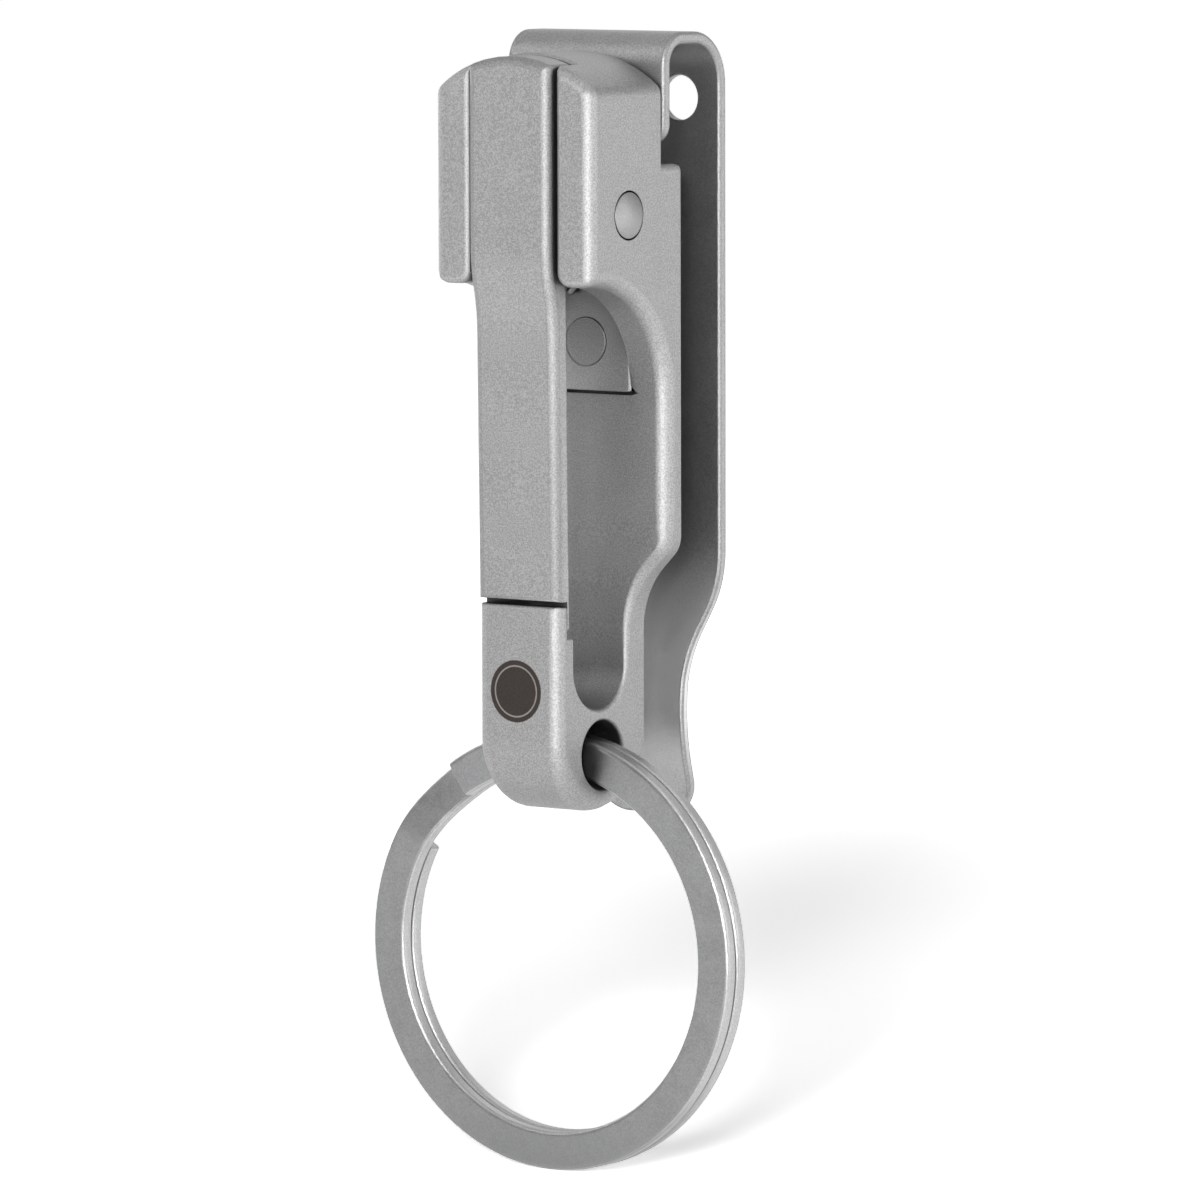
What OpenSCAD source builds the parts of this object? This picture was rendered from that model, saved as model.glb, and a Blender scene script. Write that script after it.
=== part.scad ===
// Belt key clip: a machined hook with a spring gate, a folded sheet clip for the belt and a split key ring.
// Lengths are in millimetres. X is across the clip, Y runs from the gate back to the belt, Z is up.
// Shapes are drawn with the hook's front plane at Y = 0 and its foot at Z = 0.
// in_frame() then moves them so that the origin is where the top edge of the belt sits.

/* [Body] */
// Width of the head, spine and clip
head_w = 14.2; // [13:0.1:17]
// Width of the hook
bar_w = 7.4; // [6.6:0.1:8.2]
// Height from the hook's foot to the crown of the head
body_h = 55.5; // [54:0.1:62]
// Radius of the crown across the head
crown_r = 11; // [9:0.1:16]
// Depth from the hook's front plane to the back of the head
head_d = 8.5; // [8:0.1:10]
// Thickness of the spine behind the head's back plane
spine_t = 2.4; // [2.1:0.05:3]
// Distance that the two cheeks stand in front of the hook's front plane
cheek_proud = 0.5; // [0.2:0.05:0.8]
// Distance from the crown down to the shoulder in the back
shoulder_drop = 8.2; // [7.5:0.1:9.5]
// Thickness of the bridge between the cheeks, from the crown down
bridge_h = 5.6; // [5:0.1:6.4]
// Radius of the finger cut in the side walls
finger_r = 8.2; // [7.5:0.1:9]
// Distance from the crown down to the centre of the finger cut
finger_drop = 25; // [24:0.1:26]
// Radius of the cheeks' lower corners
cheek_r = 1.1; // [0.4:0.1:1.4]
// Rounding of the body's long edges
edge_r = 0.45; // [0.2:0.05:0.7]
// Rounding of the finger cut's outer edges
finger_edge_r = 1.0; // [0.3:0.05:1.2]
// Distance that the finger cut goes into the spine, behind the head's back plane
finger_bite = 0.3; // [0:0.05:0.5]

/* [Hook] */
// Thickness of the hook's front wall
hook_wall = 2.0; // [1.6:0.1:2.6]
// Height of the hook's lip above its foot
lip_z = 15.4; // [14:0.05:18]
// Thickness of the lip
lip_t = 1.1; // [0.9:0.05:1.3]
// Depth of the shelf behind the lip
lip_h = 2.4; // [1.6:0.05:2.8]
// Height of the bottom of the hook's slot
slot_floor_z = 7.5; // [7.1:0.1:9]
// Height where the spine starts to narrow
taper_z = 20.1; // [18.5:0.1:23]
// Angle of the spine's taper
taper_a = 45; // [30:1:50]
// Outer radius at the top of the taper
taper_r = 2.2; // [1:0.1:3]
// Inner radius at the bottom of the taper
taper_low_r = 6.6; // [4:0.1:7]
// Rounding of the hook's front edges
hook_edge_r = 0.85; // [0.4:0.05:1.2]
// Depth of the slot, from the front wall back to the spine
slot_d = 6.4; // [6:0.1:6.5]
// Radius of the foot's corners, seen from the front
foot_r = 2.0; // [0.5:0.1:2.6]

/* [Ring] */
// Outer diameter of the split ring
ring_d = 32.4; // [28:0.1:36]
// Radial width of the ring's wire
ring_wire_w = 2.85; // [2.2:0.05:3]
// Thickness of one turn of the ring's wire
ring_wire_t = 1.15; // [1:0.05:1.4]
// Gap between the two turns
ring_seam = 0.1; // [0.05:0.05:0.2]
// Diameter of the hole for the ring
ring_hole_d = 5; // [4.8:0.05:5.2]
// Distance from the hook's front plane back to the ring hole
ring_hole_y = 5.5; // [5.2:0.05:5.7]
// Height of the ring hole above the foot
ring_hole_z = 4.2; // [3.9:0.02:4.3]
// Angle of the end of the ring's front turn, from +X
ring_front_a = 124.5; // [110:0.5:140]
// Angle of the end of the ring's back turn, from +X
ring_back_a = 149.5; // [142:0.5:170]

// Distance that the ring hangs to the left of the middle
ring_shift = 0.5; // [0:0.05:0.6]
// Distance that the ring hangs below the middle of its hole
ring_drop = 0.3; // [0:0.05:0.4]

/* [Gate] */
// Width of the gate
gate_w = 7.3; // [6.5:0.1:8]
// Thickness of the gate bar at its lower end
gate_t = 1.55; // [1.4:0.05:1.7]
// Distance that the gate's upper part stands in front of the cheeks
gate_proud = 0.6; // [0.3:0.05:1]
// Distance from the crown down to the foot of the gate's upper part
gate_step_drop = 15.5; // [14:0.1:17]
// Distance that the gate's lower part leans back, from its top to its tip
gate_lean = 0.35; // [0:0.05:0.6]
// Height of the slope between the gate's upper and lower parts
gate_step_h = 2.5; // [1.5:0.1:4]
// Gap between the bottom of the gate's front and the lip
gate_gap = 0.6; // [0.3:0.05:0.8]
// Gap between the gate's tip and the lip in front of it
tip_front_gap = 0.07; // [0.05:0.01:0.15]
// Height of the slope under the gate's tip
tip_slope = 0.3; // [0.1:0.05:0.5]
// Distance that the back of the gate steps forward below its upper part
gate_back_step = 0.4; // [0:0.05:0.6]
// Gap between the gate's crown and the body's
crown_gap = 0.15; // [0:0.05:0.4]
// Gap between the gate's tip and the shelf
tip_gap = 0.65; // [0.4:0.05:0.9]
// Gap beside the gate, between the cheeks
channel_gap = 0.2; // [0.15:0.05:0.4]
// Gap behind the gate's top
seam_gap = 0.2; // [0.1:0.05:0.4]
// Thickness of each gate ear
ear_t = 1.25; // [1:0.05:1.3]
// Radius of the ear round the pin
ear_r = 3.1; // [2.6:0.1:3.5]

/* [Pivot] */
// Diameter of the pivot pin
pin_d = 3.4; // [3:0.1:3.6]
// Distance from the hook's front plane back to the pin
pin_y = 4.2; // [4:0.1:4.8]
// Distance from the crown down to the pin
pin_drop = 11.7; // [11:0.1:12.6]
// Height of the pin's domed ends
pin_dome = 0.4; // [0.2:0.05:0.6]
// Gap between the pin and the gate's ears
pin_run = 0.05; // [0.02:0.01:0.08]
// Gap between a fixed pin or rivet and its hole
fixed_gap = 0.02; // [0.01:0.01:0.04]
// Diameter of the spring wire
spring_d = 0.6; // [0.5:0.05:0.65]
// Number of turns in the spring
spring_turns = 3; // [2:1:3]
// Gap between the turns of the spring
spring_gap = 0.5; // [0.42:0.01:0.55]
// Gap between the spring and the pin
spring_play = 0.2; // [0.1:0.05:0.3]
// Gap between the spring's legs and what they press on
spring_leg_gap = 0.1; // [0.05:0.01:0.2]
// Length of the spring's rear leg, from the pin down
spring_leg = 6.0; // [5.5:0.1:7]
// Distance that the rear leg runs to the side
spring_side = 3; // [0:0.1:3.4]

/* [Belt clip] */
// Thickness of the clip's sheet
sheet_t = 0.9; // [0.7:0.05:1.1]
// Clear space for the belt, between the spine and the rear leg
belt_gap = 4.65; // [4.2:0.05:7]
// Height of the slot's top above the crown
slot_rise = 0.5; // [0.4:0.1:2]
// Inner radius of the fold above the head
fold_front_r = 1.5; // [1:0.1:2]
// Inner radius of the fold above the rear leg
fold_back_r = 3.0; // [1.5:0.1:3.2]
// Distance from the crown down to the end of the full-width front leg
leg_drop = 6.75; // [5.8:0.05:7.4]
// Radius of that leg's corners
leg_r = 1.5; // [0.8:0.1:1.8]
// Width of the tongue
tongue_w = 7.2; // [6:0.1:7.7]
// Distance from the crown down to the tongue's end
tongue_drop = 24.9; // [24.5:0.05:27]
// Gap between the tongue and its pocket
pocket_gap = 0.25; // [0.15:0.05:0.4]
// Gap between the sheet and the faces that it lies on
seat_gap = 0.03; // [0.01:0.01:0.06]
// Distance that the rear leg reaches below the foot
rear_below = 1.3; // [0:0.1:4]
// Width of the rear leg's lower end
rear_end_w = 8.7; // [7:0.1:11]
// Radius of the rear leg's lower corners
rear_end_r = 2.7; // [1.5:0.1:3.4]
// Height where the rear leg starts to narrow
rear_taper_z = 18.6; // [18:0.1:24]
// Angle of the rear leg's taper
rear_taper_a = 26; // [20:1:35]
// Radii of the rear leg's taper
rear_taper_r = 10; // [6:0.5:10]
// Height where the rear leg starts to lean towards the spine
lean_z = 16.9; // [16:0.1:22]
// Angle of that lean
lean_a = 9; // [4:0.5:12]
// Length of the straight part of the lean
lean_len = 3.2; // [1:0.1:5]
// Angle that the lower end flares back
flare_a = 15; // [8:0.5:20]
// Radius of the bend into the lean
lean_r = 30; // [20:1:40]
// Radius of the bend from the lean to the flare
flare_r = 16; // [10:1:18]

/* [Rivets] */
// Diameter of the rivet heads
rivet_head_d = 3.6; // [3:0.1:4]
// Diameter of the rivet shanks
rivet_d = 2.2; // [1.8:0.1:2.6]
// Distance from the crown down to the lower rivet
lower_rivet_drop = 21.3; // [20.5:0.1:22.8]
// Distance from the crown down to the two upper rivets
upper_rivet_drop = 3.6; // [3:0.1:3.8]
// Distance of each upper rivet from the middle
upper_rivet_x = 3.4; // [2.6:0.1:4]
// Diameter of the heads of the upper rivets
upper_head_d = 3; // [2.6:0.1:3.2]
// Depth of the upper rivets in the head
upper_rivet_len = 4; // [3:0.1:5]
// Diameter of the two access holes in the rear leg
access_d = 3.3; // [3.1:0.1:4]

/* [Hidden] */
$fn = 96;
// Steps in a rounded corner and in a large arc of an outline
corner_steps = 8;
arc_steps = 16;
// How far a cut runs past the face that it opens
past = 1;
// Thinnest slice, used as the ends of a blended stretch
slice = 0.01;

spine_y = head_d + spine_t;
shoulder_z = body_h - shoulder_drop;
bridge_z = body_h - bridge_h;
finger_z = body_h - finger_drop;
channel_w = gate_w + 2 * channel_gap;
// Front face of the spine below the finger cut
throat_y = head_d + finger_bite;

gate_back_y = gate_t;
gate_top_back_y = gate_back_y + gate_back_step;
bridge_y = gate_top_back_y + seam_gap;
gate_top_y = -cheek_proud - gate_proud;
gate_step_z = body_h - gate_step_drop;
gate_low_z = lip_z + gate_gap;
shelf_z = lip_z - lip_h;
tip_z = shelf_z + tip_gap;
pin_z = body_h - pin_drop;

slot_r = slot_d / 2;
slot_y = hook_wall + slot_r;
slot_z = slot_floor_z + slot_r;
foot_side_r = spine_y / 2;

leg_y = head_d + seat_gap;
leg_back_y = leg_y + sheet_t;
pocket_y = leg_back_y + seat_gap;
rear_in_y = spine_y + belt_gap;
rear_y = rear_in_y + sheet_t;
slot_top_z = body_h + slot_rise;
clip_top_z = slot_top_z + sheet_t;
leg_end_z = body_h - leg_drop;
tongue_end_z = body_h - tongue_drop;
upper_rivet_z = body_h - upper_rivet_drop;
lower_rivet_z = body_h - lower_rivet_drop;
belt_mid_y = spine_y + belt_gap / 2;

ring_r = ring_d / 2;
ring_in_r = ring_r - ring_wire_w;
// The wire's inner corner at the hook's sides and its outer face at the middle clear the hole alike
ring_sag_r = sqrt(ring_in_r * ring_in_r - pow(bar_w / 2 + ring_shift, 2));
ring_z = ring_hole_z - (ring_r + ring_sag_r) / 2 - ring_drop;

spring_r = pin_d / 2 + spring_play + spring_d / 2;
spring_pitch = spring_d + spring_gap;

// Points on an arc round c, from angle a to angle b
function arc(c, r, a, b, steps = corner_steps) =
    [for (i = [0 : steps]) let (t = a + (b - a) * i / steps) c + r * [cos(t), sin(t)]];

// Right edge of a plate that narrows from half width w to half width v, from height z down
function narrowing(w, v, z, r, low_r, a) =
    let (run = w - v - (r + low_r) * (1 - cos(a)),
         low_z = z - (r + low_r) * sin(a) - run / tan(a))
    concat(arc([w - r, z], r, 0, -a), arc([v + low_r, low_z], low_r, 180 - a, 180));

function mirrored(points) = [for (i = [len(points) - 1 : -1 : 0]) [-points[i][0], points[i][1]]];

module in_frame() {
    translate([0, -belt_mid_y, -slot_top_z]) children();
}

// Draws a side view, with Y across and Z up, and gives it a width about X = 0
module across(w) {
    rotate([90, 0, 90]) linear_extrude(w, center = true) children();
}

// Draws a front view, with X across and Z up, from depth y0 to depth y1
module through(y0, y1) {
    translate([0, y1, 0]) rotate([90, 0, 0]) linear_extrude(y1 - y0) children();
}

// A block with rounded upright edges, of one radius in front and another behind
module upright_block(w, y0, y1, z0, z1, front_r, back_r) {
    xf = w / 2 - front_r;
    xb = w / 2 - back_r;
    translate([0, 0, z0]) linear_extrude(z1 - z0) polygon(concat(
        arc([xb, y1 - back_r], back_r, 0, 90), arc([-xb, y1 - back_r], back_r, 90, 180),
        arc([-xf, y0 + front_r], front_r, 180, 270), arc([xf, y0 + front_r], front_r, 270, 360)));
}

module rect(x0, x1, z0, z1) {
    translate([x0, z0]) square([x1 - x0, z1 - z0]);
}

// Front view of the body: crown, straight sides, taper and foot
module body_front() {
    corner_a = acos(head_w / 2 / crown_r);
    right = concat(
        arc([0, body_h - crown_r], crown_r, 90, corner_a, arc_steps),
        narrowing(head_w / 2, bar_w / 2, taper_z, taper_r, taper_low_r, taper_a),
        arc([bar_w / 2 - foot_r, foot_r], foot_r, 0, -90));
    polygon(concat(right, mirrored(right)));
}

// Side view of the head, the side walls above the finger cut, and the spine
module upper_side() {
    difference() {
        union() {
            rect(-cheek_proud, head_d, finger_z, body_h);
            rect(head_d, spine_y, finger_z, shoulder_z);
        }
        translate([throat_y - finger_r, finger_z]) circle(finger_r);
    }
    rect(throat_y, spine_y, taper_z, finger_z);
    throat();
}

// Side view of the spine between the slot and the finger cut
module throat() {
    polygon([[slot_y + slot_r, slot_z], [throat_y, taper_z], [spine_y, taper_z], [spine_y, slot_z]]);
}

// Side view of the hook with its slot, lip and shelf
module hook_side() {
    difference() {
        union() {
            translate([foot_side_r, foot_side_r]) circle(foot_side_r);
            rect(0, hook_wall, foot_side_r, lip_z);
            rect(0, spine_y, foot_side_r, slot_z);
        }
        translate([slot_y, slot_z]) circle(slot_r);
        rect(lip_t, hook_wall + past, shelf_z, lip_z + past);
    }
    throat();
}

// Cross-section that rounds the outer edge of the finger cut
module finger_edge() {
    translate([finger_r, head_w / 2 - finger_edge_r]) difference() {
        translate([-past, 0]) square([finger_edge_r + past, finger_edge_r + past]);
        translate([finger_edge_r, 0]) circle(finger_edge_r);
    }
}

// The rounding follows the cut's arc and goes straight down the spine
module finger_edge_cuts() {
    for (side = [0, 1]) mirror([side, 0, 0]) translate([0, throat_y - finger_r, finger_z]) {
        rotate([0, 90, 0]) rotate([0, 0, 90]) rotate_extrude(angle = 100) finger_edge();
        rotate(180, [1, 1, 0]) linear_extrude(finger_z - taper_z) finger_edge();
    }
}

module hook_body() {
    color("#a8a8aa") in_frame() difference() {
        union() {
            intersection() {
                across(head_w) upper_side();
                through(-cheek_proud, spine_y) body_front();
                union() {
                    upright_block(head_w, -cheek_proud, head_d, finger_z, body_h, edge_r, edge_r);
                    upright_block(head_w, slot_y, spine_y, 0, shoulder_z, edge_r, edge_r);
                }
            }
            intersection() {
                across(bar_w) hook_side();
                through(0, spine_y) body_front();
                upright_block(bar_w, 0, spine_y, 0, taper_z, hook_edge_r, edge_r);
            }
        }
        channel();
        tongue_pocket();
        finger_edge_cuts();
        translate([0, ring_hole_y, ring_hole_z]) rotate([0, 90, 0])
            cylinder(d = ring_hole_d, h = bar_w + 2 * past, center = true);
        translate([0, pin_y, pin_z]) rotate([0, 90, 0])
            cylinder(d = pin_d + 2 * fixed_gap, h = head_w + 2 * past, center = true);
        for (side = [-1, 1]) upper_rivet_at(side, fixed_gap);
        lower_rivet_at(fixed_gap);
    }
}

// Space between the cheeks for the gate, its ears and the spring
module channel() {
    half = channel_w / 2;
    cheek_z = finger_z + finger_r;
    right = concat(
        [[half, bridge_z]],
        arc([half + cheek_r, cheek_z + cheek_r], cheek_r, 180, 270),
        [[half + cheek_r, cheek_z - cheek_r], [half, cheek_z - cheek_r]]);
    translate([-half, -cheek_proud - past, finger_z])
        cube([channel_w, head_d + cheek_proud + past, bridge_z - finger_z]);
    translate([-half, -cheek_proud - past, bridge_z - past])
        cube([channel_w, bridge_y + cheek_proud + past, bridge_h + 2 * past]);
    through(-cheek_proud - past, gate_back_y) polygon(concat(right, mirrored(right)));
}

// Pocket in the spine for the clip's tongue
module tongue_pocket() {
    half = tongue_w / 2 + pocket_gap;
    translate([-half, slot_y, tongue_end_z - pocket_gap])
        cube([2 * half, pocket_y - slot_y, shoulder_z - tongue_end_z + pocket_gap + past]);
}

// Side view of the gate bar, from its crown to the tip behind the lip
module gate_side() {
    polygon([
        [gate_top_y, body_h],
        [gate_top_y, gate_step_z],
        [-gate_lean, gate_step_z - gate_step_h],
        [0, gate_low_z],
        [lip_t + tip_front_gap, gate_low_z],
        [lip_t + tip_front_gap, tip_z],
        [gate_back_y, tip_z + tip_slope],
        [gate_back_y - gate_lean, gate_step_z],
        [gate_back_y, gate_step_z + gate_step_h],
        [gate_back_y, bridge_z - gate_step_h],
        [gate_top_back_y, bridge_z],
        [gate_top_back_y, body_h]]);
}

module gate_front() {
    half = gate_w / 2;
    top_r = crown_r - crown_gap;
    corner_a = acos(half / top_r);
    right = concat(arc([0, body_h - crown_r], top_r, 90, corner_a, arc_steps), [[half, tip_z]]);
    polygon(concat(right, mirrored(right)));
}

module gate() {
    color("#a2a2a5") in_frame() difference() {
        union() {
            intersection() {
                across(gate_w) gate_side();
                through(gate_top_y, gate_top_back_y) gate_front();
                union() {
                    upright_block(gate_w, gate_top_y, head_d, gate_step_z - gate_step_h, body_h,
                                  edge_r, edge_r);
                    upright_block(gate_w, -gate_lean, head_d, tip_z, gate_step_z, edge_r, edge_r);
                }
            }
            for (side = [-1, 1]) translate([side * (gate_w - ear_t) / 2, 0, 0]) across(ear_t) {
                translate([pin_y, pin_z]) circle(ear_r);
                rect(0, pin_y, pin_z - ear_r, pin_z + ear_r);
            }
        }
        translate([0, pin_y, pin_z]) rotate([0, 90, 0])
            cylinder(d = pin_d + 2 * pin_run, h = gate_w + 2 * past, center = true);
    }
}

module pivot_pin() {
    cap_r = (pow(pin_d / 2, 2) + pin_dome * pin_dome) / (2 * pin_dome);
    dome = arc([0, head_w / 2 + pin_dome - cap_r], cap_r, asin(1 - pin_dome / cap_r), 90);
    under = [for (i = [len(dome) - 1 : -1 : 0]) [dome[i][0], -dome[i][1]]];
    color("#b4b4b6") in_frame() translate([0, pin_y, pin_z]) rotate([0, 90, 0])
        rotate_extrude() polygon(concat(under, dome));
}

// The spring: a leg down the tongue, the turns round the pin, and a leg down the gate's back
spring_sides = 6;
spring_steps = 8;
// Angles about the pin, from +Y, where the rear leg leaves the turns and the front leg ends them
spring_a0 = -20;
spring_a1 = spring_a0 - 360 * spring_turns - 150;
spring_half = spring_pitch * (spring_a0 - spring_a1) / 720;
spring_count = round(spring_steps * (spring_a0 - spring_a1) / 360);
leg_front_y = gate_back_y + spring_leg_gap + spring_d / 2;
leg_rear_y = leg_y - spring_leg_gap - spring_d / 2;
spring_coil = [for (i = [0 : spring_count])
    let (t = i / spring_count, a = spring_a0 + (spring_a1 - spring_a0) * t)
    [spring_half * (1 - 2 * t), pin_y + spring_r * cos(a), pin_z + spring_r * sin(a)]];
spring_path = concat(
    [[spring_half - spring_side, leg_rear_y, pin_z - spring_leg],
     [spring_half - spring_side / 2, leg_rear_y, pin_z - spring_leg * 0.7],
     [spring_half, leg_rear_y - spring_d, pin_z - spring_leg * 0.35]],
    spring_coil,
    [[-spring_half, leg_front_y, pin_z - spring_leg * 0.45],
     [-spring_half, leg_front_y, pin_z - spring_leg * 0.8]]);
// Least gap between points of the wire that are about a turn apart
spring_last = len(spring_path) - 1;
spring_self_gap = min([for (i = [0 : spring_last], j = [i + spring_steps - 2 : 1 : spring_last])
    norm(spring_path[i] - spring_path[j])]) - spring_d;
echo(spring_self_gap = spring_self_gap);

function unit(v) = v / norm(v);

function tangent(path, i) =
    unit(path[min(i + 1, len(path) - 1)] - path[max(i - 1, 0)]);

// Rings of a tube along a path, each square to it
function tube_points(path, r, sides) =
    [for (i = [0 : len(path) - 1])
        let (t = tangent(path, i), u = unit(cross(t, [0.3, 0.2, 1])), v = cross(t, u))
        for (k = [0 : sides - 1]) let (a = 360 * k / sides) path[i] + r * (u * cos(a) + v * sin(a))];

function tube_faces(rings, sides) = concat(
    [for (k = [1 : sides - 2]) [0, k + 1, k]],
    [for (k = [1 : sides - 2]) let (b = (rings - 1) * sides) [b, b + k, b + k + 1]],
    [for (i = [0 : rings - 2], k = [0 : sides - 1], half = [0, 1])
        let (a = i * sides + k, b = i * sides + (k + 1) % sides)
        half == 0 ? [a, b, b + sides] : [a, b + sides, a + sides]]);

module gate_spring() {
    color("#c9c9cc") in_frame()
        polyhedron(tube_points(spring_path, spring_d / 2, spring_sides),
                   tube_faces(len(spring_path), spring_sides), convexity = 8);
}

// Side view of the rear leg's outer face: the end of its bend into the lean, the start of its bend
// into the flare, and that bend's centre
rear_outer = let (
    a1 = lean_a,
    p1 = [rear_y - lean_r * (1 - cos(a1)), lean_z - lean_r * sin(a1)],
    p2 = p1 - lean_len * [sin(a1), cos(a1)],
    c2 = p2 + (flare_r - sheet_t / 2) * [cos(a1), -sin(a1)])
    [p1, p2, c2];

// Side view of the clip: outer face one way and inner face back, the sheet's thickness apart
module clip_side() {
    p2 = rear_outer[1];
    c2 = rear_outer[2];
    out_r = flare_r - sheet_t / 2;
    in_r = flare_r + sheet_t / 2;
    end_z = -rear_below;
    low = c2 + out_r * [-cos(flare_a), -sin(flare_a)];
    low_in = c2 + in_r * [-cos(flare_a), -sin(flare_a)];
    polygon(concat(
        [[leg_y, tongue_end_z]],
        arc([leg_y + fold_front_r + sheet_t, clip_top_z - fold_front_r - sheet_t],
            fold_front_r + sheet_t, 180, 90),
        arc([rear_y - fold_back_r - sheet_t, clip_top_z - fold_back_r - sheet_t],
            fold_back_r + sheet_t, 90, 0),
        arc([rear_y - lean_r, lean_z], lean_r, 0, -lean_a),
        arc(c2, out_r, 180 - lean_a, 180 + flare_a),
        [[low[0] + (low[1] - end_z) * tan(flare_a), end_z],
         [low_in[0] + (low_in[1] - end_z) * tan(flare_a), end_z]],
        arc(c2, in_r, 180 + flare_a, 180 - lean_a),
        arc([rear_y - lean_r, lean_z], lean_r - sheet_t, -lean_a, 0),
        arc([rear_y - fold_back_r - sheet_t, clip_top_z - fold_back_r - sheet_t], fold_back_r, 0, 90),
        arc([leg_y + fold_front_r + sheet_t, clip_top_z - fold_front_r - sheet_t],
            fold_front_r, 90, 180),
        [[leg_back_y, tongue_end_z]]));
}

// Front view of the leg on the head's back, with the tongue below it
module leg_front() {
    half = head_w / 2;
    right = concat(
        [[half, clip_top_z + past]],
        arc([half - leg_r, leg_end_z + leg_r], leg_r, 0, -90),
        [[tongue_w / 2, leg_end_z], [tongue_w / 2, tongue_end_z]]);
    polygon(concat(right, mirrored(right)));
}

// Front view of the rear leg, which narrows to a round-cornered end
module rear_front() {
    half = rear_end_w / 2;
    right = concat(
        [[head_w / 2, clip_top_z + past]],
        narrowing(head_w / 2, half, rear_taper_z, rear_taper_r, rear_taper_r, rear_taper_a),
        arc([half - rear_end_r, rear_end_r - rear_below], rear_end_r, 0, -90));
    polygon(concat(right, mirrored(right)));
}

module belt_clip() {
    color("#9d9d9f") in_frame() difference() {
        intersection() {
            across(head_w) clip_side();
            union() {
                through(leg_y - past, belt_mid_y) leg_front();
                through(belt_mid_y, rear_y + belt_gap) rear_front();
            }
        }
        for (side = [-1, 1]) {
            upper_rivet_at(side, fixed_gap);
            translate([side * upper_rivet_x, belt_mid_y, upper_rivet_z]) rotate([-90, 0, 0])
                cylinder(d = access_d, h = belt_gap);
        }
        lower_rivet_at(fixed_gap);
    }
}

// A countersunk rivet, its head at depth 0 and its shank towards -Z
module countersunk(head_d, len, gap) {
    translate([0, 0, -sheet_t])
        cylinder(d1 = rivet_d + 2 * gap, d2 = head_d + 2 * gap, h = sheet_t);
    translate([0, 0, -len - gap]) cylinder(d = rivet_d + 2 * gap, h = len + gap);
}

module lower_rivet_at(gap) {
    translate([0, leg_y, lower_rivet_z]) rotate([90, 0, 0])
        countersunk(rivet_head_d, spine_y - leg_y, gap);
}

module upper_rivet_at(side, gap) {
    translate([side * upper_rivet_x, leg_back_y, upper_rivet_z]) rotate([-90, 0, 0])
        countersunk(upper_head_d, sheet_t + upper_rivet_len, gap);
}

module lower_rivet() {
    color("#8f8f92") in_frame() lower_rivet_at(0);
}

module upper_rivet_left() {
    color("#8f8f92") in_frame() upper_rivet_at(-1, 0);
}

module upper_rivet_right() {
    color("#8f8f92") in_frame() upper_rivet_at(1, 0);
}

// One turn of flat wire from angle a to angle b, its middle at depth y from the ring's middle plane
module turn(a, b, y) {
    translate([0, y, 0]) rotate([90, 0, 0]) rotate_extrude(angle = b - a, start = a)
        translate([ring_in_r, -ring_wire_t / 2]) square([ring_wire_w, ring_wire_t]);
}

// The wire steps from the front turn to the back one between the two ends
module split_ring() {
    layer_y = (ring_wire_t + ring_seam) / 2;
    end_gap = 1.5;
    cross_a0 = ring_back_a + end_gap;
    cross_a1 = ring_front_a - end_gap;
    steps = 6;
    color("#9a9ba0") in_frame() translate([-ring_shift, ring_hole_y, ring_z]) {
        turn(cross_a0 - 360, ring_front_a, -layer_y);
        turn(ring_back_a - 360, cross_a1, layer_y);
        for (i = [0 : steps - 1]) hull() for (k = [i, i + 1])
            let (t = k / steps, a = cross_a0 + (cross_a1 - cross_a0) * t, s = (1 - cos(180 * t)) / 2)
            turn(a - slice, a + slice, layer_y * (2 * s - 1));
    }
}

hook_body();
gate();
pivot_pin();
gate_spring();
belt_clip();
lower_rivet();
upper_rivet_left();
upper_rivet_right();
split_ring();
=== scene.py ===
# %% [markdown]
# # A belt key clip in blasted steel
# The object is a machined key hook that hangs from a belt: a forked body with a sprung gate, a
# bent sheet clip riveted to its back, and a flat split ring. The exact solids were drawn
# elsewhere and arrive as a fixed frame. This lesson dresses them: every solid gets a softer,
# finer twin, because what the eye reads in such steel is how its rounded edges catch the light.

# %% The frame
from math import acos, cos, degrees, pi, radians, sin, sqrt, tan

import bmesh
import bpy
from mathutils import Matrix, Vector


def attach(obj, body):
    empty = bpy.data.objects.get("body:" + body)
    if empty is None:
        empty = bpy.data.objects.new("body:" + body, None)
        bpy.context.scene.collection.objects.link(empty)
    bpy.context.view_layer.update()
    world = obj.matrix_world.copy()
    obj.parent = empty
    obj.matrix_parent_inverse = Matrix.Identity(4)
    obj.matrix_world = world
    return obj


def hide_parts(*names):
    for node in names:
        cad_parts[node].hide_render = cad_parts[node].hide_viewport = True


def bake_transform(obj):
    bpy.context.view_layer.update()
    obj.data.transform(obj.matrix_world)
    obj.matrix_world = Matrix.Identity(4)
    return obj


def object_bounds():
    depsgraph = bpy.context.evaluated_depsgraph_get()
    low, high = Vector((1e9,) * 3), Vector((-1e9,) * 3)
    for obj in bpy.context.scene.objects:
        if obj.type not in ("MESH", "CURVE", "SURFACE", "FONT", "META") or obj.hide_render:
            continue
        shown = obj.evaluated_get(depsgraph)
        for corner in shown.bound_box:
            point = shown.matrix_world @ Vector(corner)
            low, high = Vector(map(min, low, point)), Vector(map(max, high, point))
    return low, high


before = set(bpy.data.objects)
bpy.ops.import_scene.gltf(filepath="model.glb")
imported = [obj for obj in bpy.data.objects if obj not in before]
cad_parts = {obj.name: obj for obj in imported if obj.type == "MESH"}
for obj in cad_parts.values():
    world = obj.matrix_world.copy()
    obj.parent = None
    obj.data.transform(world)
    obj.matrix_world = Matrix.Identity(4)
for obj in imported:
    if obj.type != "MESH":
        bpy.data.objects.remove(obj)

scene = bpy.context.scene
cad_low, cad_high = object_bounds()
print("CAD box in mm:", [round(1000 * v, 2) for v in cad_high - cad_low])

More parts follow.
